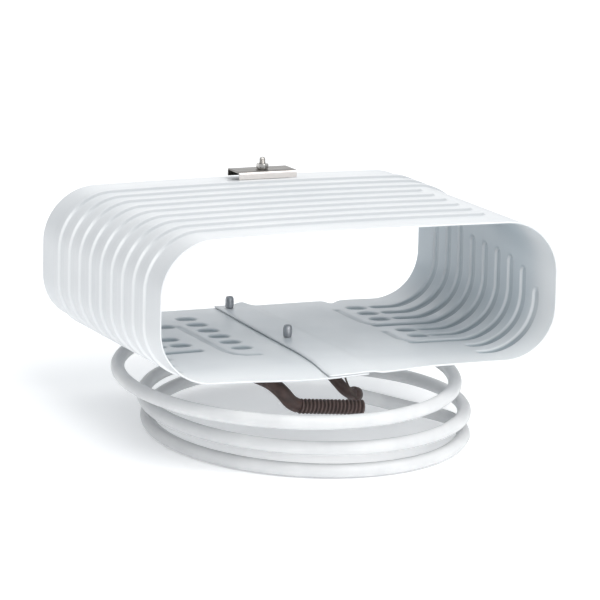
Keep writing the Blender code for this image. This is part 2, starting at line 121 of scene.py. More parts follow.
# Refrigerant line: three turns, upper, middle and lower, each a circle in a level plane.
LINE_RADIUS = 0.0063
SUCTION_RADIUS = 0.0030
SUCTION_DROP = 0.0012
CAPILLARY_RADIUS = 0.0009
CAPILLARY_RISE = 0.0033
CAPILLARY_SPLAY = 0.0030
SPLAY_ANGLE = 12
TURN_X = (-0.0170, 0.0018, 0.0046)
TURN_RADIUS = (0.1525, 0.1455, 0.1438)
TURN_Z = (0.0548, 0.0277, LINE_RADIUS)
TURN_Y = -0.027
UPPER_PASSAGE = (390, 470)
LOWER_PASSAGE = (650, 915)
COIL_START = 1050
SLEEVE_END = 88
SUCTION_END = 76
CAPILLARY_END = 70
LEAD_KNOTS = ((0.0190, -0.0750, 0.0515), (0.0395, -0.0583, 0.0422), (0.0603, -0.0413, 0.0328),
              (0.0960, -0.0235, 0.0186), (0.1165, -0.0290, 0.0140), (0.1302, -0.0440, 0.0120),
              (0.1340, -0.0600, 0.0102))

# Brown sleeves and winding.
WINDING_START = Vector((-0.0465, -0.103, 0.0534))
WINDING_END = Vector((0.016, -0.103, 0.0477))
WINDING_RADIUS = 0.0069
WINDING_TURNS = 17
WINDING_GROOVE = 0.0016
WINDING_END_TAPER = 0.0001
WINDING_ROWS = 12
OUTLET_RADIUS = 0.0066
OUTLET_KNOTS = ((-0.081, -0.011, 0.0690), (-0.079, -0.041, 0.0712), (-0.075, -0.069, 0.0735),
                (-0.069, -0.090, 0.0728), (-0.062, -0.1005, 0.0665), (-0.0545, -0.103, 0.0580))
INLET_RADIUS = 0.0052
INLET_KNOTS = ((-0.0120, -0.0600, 0.0755), (-0.0020, -0.0690, 0.0700), (0.0040, -0.0755, 0.0628),
               (0.0092, -0.0788, 0.0570), (0.0153, -0.0780, 0.0532))
CAPILLARY_KNOTS = ((-0.0025, -0.0990, 0.0795), (0.0015, -0.1000, 0.0690), (0.0060, -0.1015, 0.0610),
                   (0.0100, -0.1030, 0.0565))


# ---------------------------------------------------------------- camera

def make_camera():
    """Camera rolled a little, with the ring's centre just left of the middle and above it."""
    centre = Vector((0, CENTRE_Y, RING_CENTRE_Z))
    back = Vector((math.sin(AZIMUTH) * math.cos(ELEVATION), -math.cos(AZIMUTH) * math.cos(ELEVATION),
                   math.sin(ELEVATION)))
    level = Vector((math.cos(AZIMUTH), math.sin(AZIMUTH), 0))
    right = level * math.cos(ROLL) + back.cross(level) * math.sin(ROLL)
    up = back.cross(right)
    place = centre + back * DISTANCE
    back = (place - centre - right * AIM_RIGHT - up * AIM_UP).normalized()
    right = up.cross(back).normalized()
    up = back.cross(right)
    camera = bpy.data.objects.new("camera", bpy.data.cameras.new("camera"))
    camera.data.lens = LENS
    camera.data.sensor_width = 36
    camera.data.clip_end = 50
    camera.matrix_world = Matrix.Translation(place) @ Matrix((right, up, back)).transposed().to_4x4()
    bpy.context.scene.collection.objects.link(camera)
    bpy.context.scene.camera = camera


# ---------------------------------------------------------------- materials

class Nodes:
    """A material's node tree, with short ways to add and join nodes."""

    def __init__(self, name):
        self.material = bpy.data.materials.new(name)
        self.material.use_nodes = True
        self.tree = self.material.node_tree
        self.shader = self.tree.nodes["Principled BSDF"]
        self.place = self.add("ShaderNodeTexCoord").outputs["Object"]

    def add(self, kind, **settings):
        """A new node with the settings given."""
        node = self.tree.nodes.new(kind)
        for key, value in settings.items():
            setattr(node, key, value)
        return node

    def join(self, output, node, socket):
        """Link an output to a node's input."""
        self.tree.links.new(output, node.inputs[socket])

    def noise(self, scale, detail=3.0, stretch=(1, 1, 1), rough=0.5):
        """Noise in the object's own coordinates."""
        mapping = self.add("ShaderNodeMapping")
        mapping.inputs["Scale"].default_value = stretch
        self.join(self.place, mapping, "Vector")
        noise = self.add("ShaderNodeTexNoise")
        noise.inputs["Scale"].default_value = scale
        noise.inputs["Detail"].default_value = detail
        noise.inputs["Roughness"].default_value = rough
        self.join(mapping.outputs["Vector"], noise, "Vector")
        return noise.outputs["Fac"]

    def ramp(self, value, low, high, first, second):
        """Colour that goes from first at low to second at high."""
        ramp = self.add("ShaderNodeValToRGB")
        ramp.color_ramp.elements[0].position = low
        ramp.color_ramp.elements[0].color = (*first, 1)
        ramp.color_ramp.elements[1].position = high
        ramp.color_ramp.elements[1].color = (*second, 1)
        self.join(value, ramp, "Fac")
        return ramp.outputs["Color"]

    def scaled(self, value, low, high, out_low, out_high):
        """Value taken from one range to another."""
        node = self.add("ShaderNodeMapRange")
        for socket, number in zip(("From Min", "From Max", "To Min", "To Max"),
                                  (low, high, out_low, out_high)):
            node.inputs[socket].default_value = number
        self.join(value, node, "Value")
        return node.outputs["Result"]

    def mix(self, share, first, second):
        """Colour between first and second by a share."""
        node = self.add("ShaderNodeMix", data_type="RGBA", blend_type="MIX")
        self.join(share, node, 0)
        self.join(first, node, 6)
        self.join(second, node, 7)
        return node.outputs[2]

    def bump(self, height, strength, distance, under=None):
        """Normal bumped by a height, on top of another bump if one is given."""
        node = self.add("ShaderNodeBump")
        node.inputs["Strength"].default_value = strength
        node.inputs["Distance"].default_value = distance
        self.join(height, node, "Height")
        if under:
            self.join(under, node, "Normal")
        return node.outputs["Normal"]


def surface(name, light, dark, scale, roughness, bumps, metallic=0.0, stretch=(1, 1, 1), edge=None,
            specular=0.5, tones=()):
    """A material with cloudy colour, uneven roughness, one or more bumps, and a lighter edge: wear on the
    metals, and a painted highlight on the winding's crests.

    Each tone is laid on where one of the mesh's own attributes is high; the tones are painted light and
    painted shade: shade in recesses, on inner walls and on flanks, highlights on flanks and lips, and light
    near an opening.
    """
    nodes = Nodes(name)
    colour = nodes.ramp(nodes.noise(scale, 4, stretch), 0.36, 0.66, dark, light)
    for attribute, tone, most in tones:
        value = nodes.add("ShaderNodeAttribute", attribute_name=attribute).outputs["Fac"]
        film = nodes.add("ShaderNodeRGB")
        film.outputs[0].default_value = (*tone, 1)
        colour = nodes.mix(nodes.scaled(value, 0.08, 1.0, 0.0, most), colour, film.outputs[0])
    # Lighter colour on sharp edges: wear on the metals, and on the winding a painted highlight on its rib
    # crests.
    if edge:
        pointed = nodes.add("ShaderNodeNewGeometry").outputs["Pointiness"]
        rim = nodes.ramp(pointed, 0.52, 0.62, (0, 0, 0), (1, 1, 1))
        edge_wear_and_highlight = nodes.add("ShaderNodeRGB")
        edge_wear_and_highlight.outputs[0].default_value = (*edge, 1)
        colour = nodes.mix(rim, colour, edge_wear_and_highlight.outputs[0])
    nodes.join(colour, nodes.shader, "Base Color")
    grain = nodes.noise(scale * 3, 5, stretch, 0.6)
    nodes.join(nodes.scaled(grain, 0.3, 0.7, *roughness), nodes.shader, "Roughness")
    normal = None
    for bump_scale, strength, distance, bump_stretch in bumps:
        normal = nodes.bump(nodes.noise(bump_scale, 3, bump_stretch), strength, distance, normal)
    nodes.join(normal, nodes.shader, "Normal")
    nodes.shader.inputs["Metallic"].default_value = metallic
    nodes.shader.inputs["Specular IOR Level"].default_value = specular
    return nodes.material


def make_materials():
    """Every finish of the object, by name."""
    even = (1, 1, 1)
    return {
        "coating": surface("coating", (0.745, 0.765, 0.780), (0.690, 0.715, 0.735), 9, (0.28, 0.40),
                           ((900, 0.05, 0.0004, even), (24, 0.12, 0.0014, even)),
                           # The tones are painted light and shade: a bluish painted shade on the inner walls
                           # that fades out towards the front, painted light inside near the front opening,
                           # painted shade in the pressed recesses, painted highlights on the rib flanks, and
                           # painted shade on the front flanks of the ribs on top.
                           tones=(("inside", (0.44, 0.54, 0.60), 0.50), ("rim", (0.84, 0.86, 0.87), 0.70),
                                  ("pressed", (0.20, 0.255, 0.295), 0.85),
                                  ("painted_glint", (0.92, 0.94, 0.95), 0.90),
                                  ("flank_shade", (0.30, 0.325, 0.345), 0.55))),
        "sleeve": surface("sleeve", (0.715, 0.725, 0.73), (0.65, 0.66, 0.67), 30, (0.34, 0.50),
                          ((1400, 0.05, 0.0003, even), (60, 0.10, 0.0006, even))),
        "brown": surface("brown", (0.070, 0.038, 0.032), (0.040, 0.023, 0.020), 120, (0.42, 0.60),
                         ((900, 0.10, 0.0003, even), (150, 0.12, 0.0005, even))),
        # The winding's lighter edge colour is a painted highlight on its rib crests.
        "winding": surface("winding", (0.058, 0.034, 0.030), (0.032, 0.019, 0.017), 140, (0.40, 0.58),
                           ((1100, 0.10, 0.0003, even),), edge=(0.40, 0.29, 0.26)),
        "copper": surface("copper", (0.74, 0.36, 0.22), (0.50, 0.22, 0.13), 70, (0.28, 0.48),
                          ((1500, 0.06, 0.0003, even),), metallic=1.0),
        "tarnished": surface("tarnished", (0.085, 0.064, 0.056), (0.050, 0.040, 0.036), 90, (0.45, 0.62),
                             ((1500, 0.06, 0.0003, even),), metallic=0.4),
        "aluminium": surface("aluminium", (0.50, 0.51, 0.53), (0.36, 0.37, 0.39), 160, (0.34, 0.55),
                             ((1500, 0.10, 0.0003, even),), metallic=0.9, edge=(0.66, 0.67, 0.68)),
        # The plate's lighter tone on its front lip is a painted reflection.
        "plate": surface("plate", (0.26, 0.245, 0.225), (0.15, 0.14, 0.13), 90, (0.26, 0.42),
                         ((700, 0.08, 0.0003, (0.06, 1, 1)),), metallic=1.0, stretch=(0.15, 1, 1),
                         edge=(0.62, 0.60, 0.57), tones=(("painted_glint", (0.80, 0.76, 0.73), 0.85),)),
        "steel": surface("steel", (0.64, 0.62, 0.59), (0.46, 0.44, 0.42), 220, (0.22, 0.38),
                         ((1600, 0.06, 0.0002, even),), metallic=1.0, edge=(0.80, 0.79, 0.77)),
        "rubber": surface("rubber", (0.040, 0.040, 0.040), (0.022, 0.022, 0.023), 200, (0.60, 0.80),
                          ((1800, 0.15, 0.0003, even),)),
        "floor": surface("floor", (0.95, 0.955, 0.96), (0.93, 0.935, 0.94), 1.5, (0.65, 0.75),
                         ((40, 0.02, 0.0005, even),), specular=0.2),
    }


# ---------------------------------------------------------------- shape helpers

def smoothstep(low, high, value):
    """Share from 0 at low to 1 at high, level at both ends."""
    t = np.clip((value - low) / (high - low), 0, 1)
    return t * t * (3 - 2 * t)


def ring_matrix():
    """From the ring's own upright frame to the object's frame."""
    return Matrix.Translation((0, CENTRE_Y, RING_CENTRE_Z)) @ Matrix.Rotation(-TILT, 4, "X")


def add_piece(item, material, body, slot, *nodes):
    """Give a new object its material, link it, and let it stand for its CAD nodes."""
    if item.name not in bpy.context.scene.collection.objects:
        bpy.context.scene.collection.objects.link(item)
    item.data.materials.clear()
    item.data.materials.append(MATERIALS[material])
    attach(item, body)
    if nodes:
        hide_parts(*nodes)
    return item


def mesh_object(name, points, faces, smooth=True, sharp=None):
    """A mesh from its points and faces, smooth but for edges sharper than an angle in degrees."""
    mesh = bpy.data.meshes.new(name)
    mesh.from_pydata([tuple(point) for point in points], [], faces)
    mesh.update()
    if smooth:
        mesh.shade_smooth()
    if sharp:
        mesh.set_sharp_from_angle(angle=math.radians(sharp))
    return bpy.data.objects.new(name, mesh)


def curve_object(name, points, radius, sides=6, caps=True):
    """A round tube along points."""
    curve = bpy.data.curves.new(name, "CURVE")
    curve.dimensions = "3D"
    curve.bevel_depth = radius
    curve.bevel_resolution = sides
    curve.use_fill_caps = caps
    spline = curve.splines.new("POLY")
    spline.points.add(len(points) - 1)
    for spot, point in zip(spline.points, points):
        spot.co = (*point, 1)
    spline.use_smooth = True
    return bpy.data.objects.new(name, curve)


def turned(name, profile, sides, matrix, sharp=40):
    """Turn (radius, height) points about Z, place the result by a matrix."""
    points = []
    rings = []
    for radius, height in profile:
        if radius == 0:
            rings.append([len(points)] * sides)
            points.append((0, 0, height))
            continue
        rings.append(list(range(len(points), len(points) + sides)))
        for side in range(sides):
            angle = 2 * math.pi * side / sides
            points.append((radius * math.cos(angle), radius * math.sin(angle), height))
    faces = []
    for low, high in zip(rings, rings[1:]):
        for side in range(sides):
            after = (side + 1) % sides
            face = tuple(dict.fromkeys((low[side], low[after], high[after], high[side])))
            if len(face) > 2:
                faces.append(face)
    item = mesh_object(name, points, faces, True, sharp)
    item.data.transform(matrix)
    return item


def rounded(profile, radius, steps=3):
    """Round the inner corners of a (radius, height) profile."""
    points = [Vector(point) for point in profile]
    made = [points[0]]
    for i in range(1, len(points) - 1):
        before = points[i - 1] - points[i]
        after = points[i + 1] - points[i]
        reach = min(radius, before.length * 0.45, after.length * 0.45)
        first = points[i] + before.normalized() * reach
        last = points[i] + after.normalized() * reach
        for step in range(steps + 1):
            t = step / steps
            made.append(first * (1 - t) ** 2 + points[i] * 2 * t * (1 - t) + last * t ** 2)
    made.append(points[-1])
    return [tuple(point) for point in made]


# ---------------------------------------------------------------- the line's route

def turn_point(turn, degrees):
    """Point on one of the three level turns; degrees run anticlockwise from +X, seen from above."""
    angle = math.radians(degrees)
    return Vector((TURN_X[turn] + TURN_RADIUS[turn] * math.cos(angle),
                   CENTRE_Y + TURN_Y + TURN_RADIUS[turn] * math.sin(angle), TURN_Z[turn]))


def coil_point(degrees):
    """Centre of the line at an angle that runs on from the upper turn down to the lower one."""
    if degrees < UPPER_PASSAGE[1]:
        share = float(smoothstep(*UPPER_PASSAGE, degrees))
        return turn_point(0, degrees).lerp(turn_point(1, degrees), share)
    return turn_point(1, degrees).lerp(turn_point(2, degrees), float(smoothstep(*LOWER_PASSAGE, degrees)))


def vectors(knots):
    """The knots as vectors."""
    return [Vector(knot) for knot in knots]


def smooth_route(knots, step):
    """Points about a step apart along a smooth curve through the knots."""
    points = []
    for i in range(len(knots) - 1):
        before = knots[max(0, i - 1)]
        first = knots[i]
        second = knots[i + 1]
        after = knots[min(len(knots) - 1, i + 2)]
        count = max(1, round((second - first).length / step))
        for j in range(count):
            t = j / count
            points.append(0.5 * (2 * first + (second - before) * t
                                 + (2 * before - 5 * first + 4 * second - after) * t ** 2
                                 + (3 * first - before - 3 * second + after) * t ** 3))
    points.append(knots[-1])
    return points


def shifted(points, rise):
    """The points raised by the same height."""
    return [point + Vector((0, 0, rise)) for point in points]


def lead_route():
    """From the inlet sleeve down to the floor and round on to the lower turn."""
    knots = vectors(LEAD_KNOTS) + [coil_point(COIL_START), coil_point(COIL_START - 10)]
    points = smooth_route(knots, 0.004)
    for point in points:
        point.z = max(point.z, TURN_Z[2])
    return points


def coil_route(last):
    """The turns upward from the lead, two degrees apart."""
    return [coil_point(degrees) for degrees in range(COIL_START - 12, last - 1, -2)]


def tail_route(last, splay):
    """The bare end past the sleeve, rising by the splay."""
    return [coil_point(degrees) + Vector((0, 0, splay * float(smoothstep(0, SPLAY_ANGLE,
                                                                         SLEEVE_END - degrees))))
            for degrees in range(SLEEVE_END - 1, last - 1, -1)]


def outlet_route():
    """From the evaporator's underside, forward below the floor sheet, then down to the winding."""
    return smooth_route(vectors(OUTLET_KNOTS) + [WINDING_START], 0.002)


def inlet_route():
    """Down from the floor sheet and round to the white sleeve's start."""
    return smooth_route(vectors(INLET_KNOTS + LEAD_KNOTS[:1]), 0.002)


def along(first, second, distance):
    """Matrix at a distance from one point towards another, with Z that way."""
    axis = (second - first).normalized()
    return Matrix.Translation(first + axis * distance) @ axis.to_track_quat("Z", "Y").to_matrix().to_4x4()


# ---------------------------------------------------------------- refrigerant line

def refrigerant_line():
    """White sleeve over both copper tubes, with the bands and caps at its ends."""
    points = lead_route() + coil_route(SLEEVE_END)
    sleeve = curve_object("white_sleeve", points, LINE_RADIUS)
    add_piece(sleeve, "sleeve", "evaporator", "white_sleeve", "line_sleeve")

    inner = shifted(points[2:] + tail_route(SUCTION_END, 0), -SUCTION_DROP)
    suction = curve_object("suction_tube", inlet_route()[:-1] + inner, SUCTION_RADIUS, 4)
    add_piece(suction, "copper", "evaporator", "copper", "suction_line")

    inner = shifted(points[2:] + tail_route(CAPILLARY_END, CAPILLARY_SPLAY), CAPILLARY_RISE)
    capillary = curve_object("capillary_tube", inner, CAPILLARY_RADIUS, 2)
    add_piece(capillary, "copper", "evaporator", "copper", "capillary_line")

    shoulder = [(LINE_RADIUS + GAP, 0.0066), (LINE_RADIUS + 0.0008, 0.0064), (LINE_RADIUS + 0.0008, 0.0010),
                (INLET_RADIUS + 0.0006, -0.0022), (INLET_RADIUS + GAP / 2, -0.0030)]
    shelf = -2 * GAP
    inside = [(shoulder[-1][0], shelf), (shoulder[0][0], shelf), shoulder[0]]
    band = turned("start_band", rounded(shoulder, 0.0012) + inside, 48, along(points[0], points[1], 0))
    add_piece(band, "brown", "evaporator", "brown_sleeve", "sleeve_start_band")
    end_band = collar("end_band", points[-1], points[-3], 0.0010, 0.008)
    add_piece(end_band, "brown", "evaporator", "brown_sleeve", "sleeve_end_band")

    for name, node, last, splay, rise, radius, depth, length in (
            ("suction_cap", "suction_end_cap", SUCTION_END, 0, -SUCTION_DROP, SUCTION_RADIUS, 0.005, 0.009),
            ("capillary_cap", "capillary_end_cap", CAPILLARY_END, CAPILLARY_SPLAY, CAPILLARY_RISE,
             CAPILLARY_RADIUS, 0.005, 0.008)):
        before, end = shifted(tail_route(last, splay)[-2:], rise)
        cap = end_cap(name, end, before, radius, depth, length)
        add_piece(cap, "rubber", "evaporator", "rubber_cap", node)


def collar(name, first, second, distance, length):
    """Short shrunk band over the sleeve's end."""
    bore = LINE_RADIUS + GAP
    outer = bore + 0.0008
    profile = [(bore, length), (outer, length), (outer, 0), (bore, 0), (bore, length)]
    return turned(name, rounded(profile, 0.0004), 48, along(first, second, distance))


def end_cap(name, end, before, radius, depth, length):
    """Rubber cap pushed over a tube's bare end, with a rolled lip."""
    bore = radius + GAP
    outer = bore + 0.0012
    profile = [(0, length), (outer, length), (outer, 0.0016), (outer + 0.0003, 0.0014),
               (outer + 0.0003, 0), (bore, 0), (bore, depth), (0, depth)]
    return turned(name, rounded(profile, 0.0007), 40, along(end, end + (end - before), GAP - depth))


# ---------------------------------------------------------------- evaporator ring

FLAT = RING_WIDTH / 2 - CORNER_RADIUS
ARC = CORNER_RADIUS * math.pi / 2
WALL = RING_HEIGHT - 2 * CORNER_RADIUS
TOP_END = FLAT
WALL_START = TOP_END + ARC
WALL_END = WALL_START + WALL
FLOOR_START = WALL_END + ARC


def floor_u(x):
    """Developed distance from the middle of the top, round the side that x is on, to x on the floor."""
    return FLOOR_START + FLAT - x


def left_u(x):
    """Developed distance to x on the floor, round the left side."""
    return -(FLOOR_START + FLAT + x)


def developed(u):
    """Point and outward direction of the bare sheet's outer face at developed distances u."""
    side = np.where(u < 0, -1.0, 1.0)
    run = np.abs(u)
    upper = np.clip((run - TOP_END) / CORNER_RADIUS, 0, math.pi / 2)
    lower = np.clip((run - WALL_END) / CORNER_RADIUS, 0, math.pi / 2)
    wall = np.clip(run - WALL_START, 0, WALL)
    out_x = np.sin(upper) * np.cos(lower)
    out_z = np.where(lower > 0, -np.sin(lower), np.cos(upper))
    x = np.minimum(run, FLAT) + CORNER_RADIUS * out_x - np.maximum(run - FLOOR_START, 0)
    z = np.where(lower > 0, -WALL / 2, WALL / 2 - wall) + CORNER_RADIUS * out_z
    return side * x, z, side * out_x, out_z


def relief(u, y):
    """Height of everything pressed into the sheet, at developed distance u and depth y."""
    first = -(RIB_COUNT - 1) / 2 * RIB_PITCH
    depths = [first + number * RIB_PITCH for number in range(RIB_COUNT)]
    half = RIB_WIDTH / 2
    lift = np.zeros_like(u)
    for depth, left, wall_top, floor_end in zip(depths, RIB_LEFT_ENDS, RIB_WALL_TOPS, RIB_FLOOR_ENDS):
        start = left_u(left)
        stop = floor_u(RIB_FLOOR_STOP if floor_end is None else floor_end)
        runs = [(start, stop)]
        if wall_top is not None:
            runs = [(start, RIB_TOP_STOP), (wall_top + half, stop)]
        for begin, end in runs:
            lift = np.maximum(lift, pressed(u, y, (begin, depth), (end, depth),
                                            half, RIB_FLANK, RIB_HEIGHT))
    islands = [(left_u(x), depth) for x, depth in LEFT_ISLANDS]
    islands += [(floor_u(x), depth) for x, depth in RIGHT_ISLANDS]
    for centre, depth in islands:
        lift = np.maximum(lift, pressed(u, y, (centre - ISLAND_REACH, depth), (centre + ISLAND_REACH, depth),
                                        ISLAND_HALF, RIB_FLANK, RIB_HEIGHT))
    grooves = [[(left_u(x), depth) for x, depth in groove] for groove in LEFT_GROOVES]
    grooves += [[(floor_u(x), depth) for x, depth in groove] for groove in RIGHT_GROOVES]
    for groove in grooves:
        for begin, end in zip(groove, groove[1:]):
            lift = np.maximum(lift, pressed(u, y, begin, end, GROOVE_HALF, GROOVE_FLANK, GROOVE_HEIGHT))
    return lift


def pressed(u, y, begin, end, half, flank, height):
    """Height of one round-ended run from begin to end, flat in the middle with sloping flanks."""
    axis_u = end[0] - begin[0]
    axis_y = end[1] - begin[1]
    length = axis_u * axis_u + axis_y * axis_y
    t = np.clip(((u - begin[0]) * axis_u + (y - begin[1]) * axis_y) / length, 0, 1)
    away = np.hypot(u - begin[0] - t * axis_u, y - begin[1] - t * axis_y)
    return height * (1 - smoothstep(half - flank, half, away))


def shaped(x, z, y):
    """Bow of the long walls, and the floor's own form: high at the back, sagging at the front rim."""
    across = x / (RING_WIDTH / 2)
    height = z / (RING_HEIGHT / 2)
    bow = np.where(z > 0, BOW_TOP, BOW_FLOOR)
    lifted = z + bow * (1 - across * across) * height
    floor = smoothstep(0.55, 0.95, -height)
    inside = 1 - np.clip(np.abs(across), 0, 1) ** 4
    rim = RING_DEPTH / 2
    rise = 0.0030 * smoothstep(-rim, -0.060, y) + 0.0008 * smoothstep(0.0, rim, y)
    sag = -0.0030 * np.exp(-((x + 0.045) / 0.055) ** 2) + 0.0018 * smoothstep(0.02, 0.08, x)
    front = 1 - smoothstep(-rim, -0.098, y)
    rear = smoothstep(0.128, rim, y)
    dent = (REAR_BUMP * np.exp(-((x - REAR_BUMP_X) / REAR_DENT_WIDTH) ** 2)
            - REAR_NOTCH * np.exp(-((x - REAR_NOTCH_X) / REAR_DENT_WIDTH) ** 2))
    lifted = lifted + floor * inside * (rise + sag * front + dent * rear)
    return x + BOW_SIDE * (1 - height * height) * across, lifted


def column_positions():
    """Developed positions of the grid's columns, close together where the sheet has detail."""
    marks = ((-(FLOOR_START + FLAT) - LAP_UNDER_EDGE, 0.004), (left_u(-0.046), 0.0016),
             (left_u(-0.136), 0.003), (-FLOOR_START, 0.0034), (-WALL_START, 0.0034), (-TOP_END, 0.010),
             (0.112, 0.002), (0.140, 0.003), (0.205, 0.0018), (0.245, 0.0030), (FLOOR_START, 0.0017),
             (floor_u(0.078), 0.004), (floor_u(LAP_UNDER_EDGE + LAP_JOGGLE + 0.002), 0.002),
             (floor_u(LAP_UNDER_EDGE), 0.004), (floor_u(LAP_TOP_EDGE), 0))
    columns = []
    for (low, step), (high, _) in zip(marks, marks[1:]):
        count = max(1, round((high - low) / step))
        columns += [low + (high - low) * i / count for i in range(count)]
    return np.array(columns + [marks[-1][0]])


def row_positions():
    """Depths of the grid's rows: close together on the flanks of the ribs."""
    half_pitch = (0.0, 0.0028, 0.0043, 0.0050, 0.0058, 0.0065, 0.0082, 0.0106)
    rows = {-RING_DEPTH / 2, RING_DEPTH / 2}
    edge = RING_DEPTH / 2 - 0.0009
    for number in range(-RIB_COUNT // 2 - 1, RIB_COUNT // 2 + 3):
        for offset in (*half_pitch, RIB_PITCH / 2):
            for depth in (number * RIB_PITCH + offset, number * RIB_PITCH - offset):
                if abs(depth) < edge - 0.0006:
                    rows.add(round(depth, 6))
    rows |= {edge, -edge}
    return np.array(sorted(rows))


def evaporator_ring():
    """The roll-bond sheet as two faces a sheet apart, closed by rounded rims all round."""
    columns = column_positions()
    rows = row_positions()
    u, y = np.meshgrid(columns, rows, indexing="ij")
    lapped = smoothstep(floor_u(LAP_UNDER_EDGE), floor_u(LAP_TOP_EDGE), u)
    u = u - lapped * 0.005 * y / (RING_DEPTH / 2)
    x, z, out_x, out_z = developed(u)
    lift = relief(u, y)
    lap = np.where(u > FLOOR_START, LAP_LIFT * smoothstep(floor_u(LAP_UNDER_EDGE + LAP_JOGGLE),
                                                        floor_u(LAP_UNDER_EDGE + 0.002), u), 0)
    faces = []
    points = []
    count_u = len(columns)
    count_y = len(rows)
    for depth in (0.0, SHEET):
        reach = lift - depth - lap
        px, pz = shaped(x + out_x * reach, z + out_z * reach, y)
        points.append(np.stack((px, y, pz), axis=-1).reshape(-1, 3))
    size = count_u * count_y

    def at(layer, column, row):
        return layer * size + column * count_y + row

    for column in range(count_u - 1):
        for row in range(count_y - 1):
            faces.append((at(0, column, row), at(0, column, row + 1), at(0, column + 1, row + 1),
                          at(0, column + 1, row)))
            faces.append((at(1, column, row), at(1, column + 1, row), at(1, column + 1, row + 1),
                          at(1, column, row + 1)))
    border = ([(column, 0) for column in range(count_u)]
              + [(count_u - 1, row) for row in range(1, count_y)]
              + [(column, count_y - 1) for column in range(count_u - 2, -1, -1)]
              + [(0, row) for row in range(count_y - 2, 0, -1)])
    layers = np.concatenate(points)
    middle = []
    for column, row in border:
        edge = (layers[at(0, column, row)] + layers[at(1, column, row)]) / 2
        inner_column = min(max(column, 1), count_u - 2)
        inner_row = min(max(row, 1), count_y - 2)
        near = (layers[at(0, inner_column, inner_row)] + layers[at(1, inner_column, inner_row)]) / 2
        inward = edge - near
        length = np.linalg.norm(inward)
        middle.append(edge + inward / max(length, 1e-9) * 0.0005)
    start = 2 * size
    for i, (column, row) in enumerate(border):
        after = (i + 1) % len(border)
        next_column, next_row = border[after]
        faces.append((at(0, column, row), at(0, next_column, next_row), start + after, start + i))
        faces.append((start + i, start + after, at(1, next_column, next_row), at(1, column, row)))
    item = mesh_object("ribbed_ring", np.concatenate((layers, np.array(middle))), faces, True)
    slope = np.gradient(lift, rows, axis=1) * RIB_FLANK / RIB_HEIGHT
    on_floor = smoothstep(0.2, 1.0, -out_z)
    on_top = smoothstep(0.5, 0.95, out_z)
    front_flank = np.clip(slope, 0, 1)
    rear_flank = np.clip(-slope, 0, 1)
    # Per-point shares of painted light and shade for the coating: the first is painted shade in the pressed
    # recesses inside, most on the floor; the second is painted highlights on the rib flanks, front flanks
    # outside and rear flanks inside; the third is painted shade on the front flanks of the ribs on top; the
    # fourth is a bluish painted shade on the inner walls that fades out towards the front; the fifth is
    # painted light inside near the front opening.
    for name, outer, inner in (("pressed", 0 * u, lift / RIB_HEIGHT * (0.25 + 0.65 * on_floor)),
                               ("painted_glint", front_flank * (1 - on_top), rear_flank * (1 - on_floor)),
                               ("flank_shade", front_flank * on_top, 0 * u),
                               ("inside", 0 * u, (1 - on_floor) * smoothstep(-0.135, -0.070, y)),
                               ("rim", 0 * u, 1 - smoothstep(-0.135, -0.085, y))):
        values = np.concatenate((outer.reshape(-1), inner.reshape(-1), np.zeros(len(border))))
        item.data.attributes.new(name, "FLOAT", "POINT").data.foreach_set("value", values)
    item.data.transform(ring_matrix())
    return add_piece(item, "coating", "evaporator", "coated_panel", "evaporator_panel")


def floor_height(x, y, top=0.0):
    """Height in the ring's frame of the floor sheet's outer face, or of a point above it."""
    _, pz = shaped(np.array([x]), np.array([-RING_HEIGHT / 2 + top]), np.array([y]))
    return float(pz[0])


def top_height(x):
    """Height in the ring's frame of the bare top sheet's outer face."""
    return float(shaped(np.array([x]), np.array([RING_HEIGHT / 2]), np.array([0.0]))[1][0])


def seam_rivets():
    """Blind rivets: a flat head under the floor and a swollen tail with its open mandrel hole inside."""
    for name, node, y in (("rivet_rear", "seam_rivet_rear", RIVET_Y[0]),
                          ("rivet_front", "seam_rivet_front", RIVET_Y[1])):
        under = floor_height(RIVET_X, y) - GAP
        inside = floor_height(RIVET_X, y, SHEET + LAP_LIFT) + GAP
        profile = [(0, inside + 0.0078), (0.0017, inside + 0.0078), (0.0018, inside + 0.0108),
                   (0.0030, inside + 0.0109), (0.0040, inside + 0.0086), (0.0041, inside + 0.0040),
                   (0.0036, inside), (0.0020, inside), (0.0020, under), (0.0042, under),
                   (0.0030, under - 0.0012), (0, under - 0.0012)]
        item = turned(name, rounded(profile, 0.0012, 4), 48,
                      ring_matrix() @ Matrix.Translation((RIVET_X, y, 0)))
        add_piece(item, "aluminium", "evaporator", "rivet_aluminium", node)


# ---------------------------------------------------------------- bulb clamp

def clamp_base():
    """Height of the rib tops that the clamp's front foot stands on, in the ring's frame."""
    return top_height(CLAMP_X) + RIB_HEIGHT + GAP


